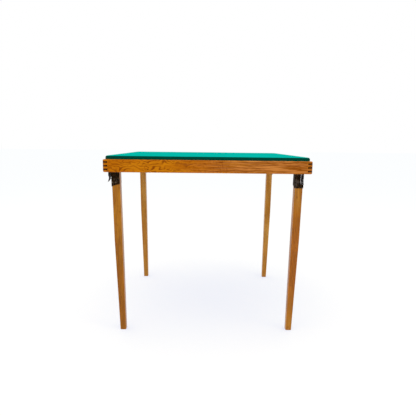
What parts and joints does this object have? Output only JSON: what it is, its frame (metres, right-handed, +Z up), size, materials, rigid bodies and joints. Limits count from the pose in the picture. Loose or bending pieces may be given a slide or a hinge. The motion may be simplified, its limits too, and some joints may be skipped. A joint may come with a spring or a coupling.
{
  "type": "folding table",
  "caption": "Square folding card table with a baize-covered top on a finger-jointed wooden frame, tapered legs that fold along the rails, and a spring latch beside each leg.",
  "frame": {"origin": "on the floor under the centre of the table", "axes": "+Z up, front towards -Y, +X to the right"},
  "size_m": [0.762, 0.762, 0.686],
  "materials": {
    "oak": "satin varnished oak",
    "plywood": "bare plywood",
    "green_baize": "green baize felt",
    "bronzed_steel": "dark bronzed pressed steel",
    "spring_steel": "dark oiled spring steel",
    "rivet_steel": "dull bronzed steel"
  },
  "bodies": {
    "frame": {"front_rail": "oak", "back_rail": "oak", "left_rail": "oak", "right_rail": "oak", "top_board": "plywood", "baize_cover": "green_baize", "front_left_hanger": "bronzed_steel", "front_left_pivot_rivet": "rivet_steel", "front_left_latch_rivet": "rivet_steel", "front_left_rail_screw_1": "rivet_steel", "front_left_rail_screw_2": "rivet_steel", "front_left_board_screw": "rivet_steel", "front_right_hanger": "bronzed_steel", "front_right_pivot_rivet": "rivet_steel", "front_right_latch_rivet": "rivet_steel", "front_right_rail_screw_1": "rivet_steel", "front_right_rail_screw_2": "rivet_steel", "front_right_board_screw": "rivet_steel", "back_right_hanger": "bronzed_steel", "back_right_pivot_rivet": "rivet_steel", "back_right_latch_rivet": "rivet_steel", "back_right_rail_screw_1": "rivet_steel", "back_right_rail_screw_2": "rivet_steel", "back_right_board_screw": "rivet_steel", "back_left_hanger": "bronzed_steel", "back_left_pivot_rivet": "rivet_steel", "back_left_latch_rivet": "rivet_steel", "back_left_rail_screw_1": "rivet_steel", "back_left_rail_screw_2": "rivet_steel", "back_left_board_screw": "rivet_steel"},
    "front_left_leg": {"front_left_leg": "oak", "front_left_leg_socket": "bronzed_steel", "front_left_socket_rivet_1": "rivet_steel", "front_left_socket_rivet_2": "rivet_steel"},
    "front_left_latch": {"front_left_latch": "spring_steel"},
    "front_right_leg": {"front_right_leg": "oak", "front_right_leg_socket": "bronzed_steel", "front_right_socket_rivet_1": "rivet_steel", "front_right_socket_rivet_2": "rivet_steel"},
    "front_right_latch": {"front_right_latch": "spring_steel"},
    "back_right_leg": {"back_right_leg": "oak", "back_right_leg_socket": "bronzed_steel", "back_right_socket_rivet_1": "rivet_steel", "back_right_socket_rivet_2": "rivet_steel"},
    "back_right_latch": {"back_right_latch": "spring_steel"},
    "back_left_leg": {"back_left_leg": "oak", "back_left_leg_socket": "bronzed_steel", "back_left_socket_rivet_1": "rivet_steel", "back_left_socket_rivet_2": "rivet_steel"},
    "back_left_latch": {"back_left_latch": "spring_steel"}
  },
  "joints": [
    {"name": "front_left_leg_fold", "type": "hinge", "parent": "frame", "child": "front_left_leg", "pos_m": [-0.3405, -0.3405, 0.65], "axis": [0, -1, 0], "range_deg": [0, 90]},
    {"name": "front_left_latch_release", "type": "hinge", "parent": "frame", "child": "front_left_latch", "pos_m": [-0.36075, -0.3405, 0.635], "axis": [0, 1, 0], "range_deg": [0, 5.5], "stiffness_Nm_per_rad": 2, "springref_deg": -2.86},
    {"name": "front_right_leg_fold", "type": "hinge", "parent": "frame", "child": "front_right_leg", "pos_m": [0.3405, -0.3405, 0.65], "axis": [1, 0, 0], "range_deg": [0, 90]},
    {"name": "front_right_latch_release", "type": "hinge", "parent": "frame", "child": "front_right_latch", "pos_m": [0.3405, -0.36075, 0.635], "axis": [-1, 0, 0], "range_deg": [0, 5.5], "stiffness_Nm_per_rad": 2, "springref_deg": -2.86},
    {"name": "back_right_leg_fold", "type": "hinge", "parent": "frame", "child": "back_right_leg", "pos_m": [0.3405, 0.3405, 0.65], "axis": [0, 1, 0], "range_deg": [0, 90]},
    {"name": "back_right_latch_release", "type": "hinge", "parent": "frame", "child": "back_right_latch", "pos_m": [0.36075, 0.3405, 0.635], "axis": [0, -1, 0], "range_deg": [0, 5.5], "stiffness_Nm_per_rad": 2, "springref_deg": -2.86},
    {"name": "back_left_leg_fold", "type": "hinge", "parent": "frame", "child": "back_left_leg", "pos_m": [-0.3405, 0.3405, 0.65], "axis": [-1, 0, 0], "range_deg": [0, 90]},
    {"name": "back_left_latch_release", "type": "hinge", "parent": "frame", "child": "back_left_latch", "pos_m": [-0.3405, 0.36075, 0.635], "axis": [1, 0, 0], "range_deg": [0, 5.5], "stiffness_Nm_per_rad": 2, "springref_deg": -2.86}
  ]
}
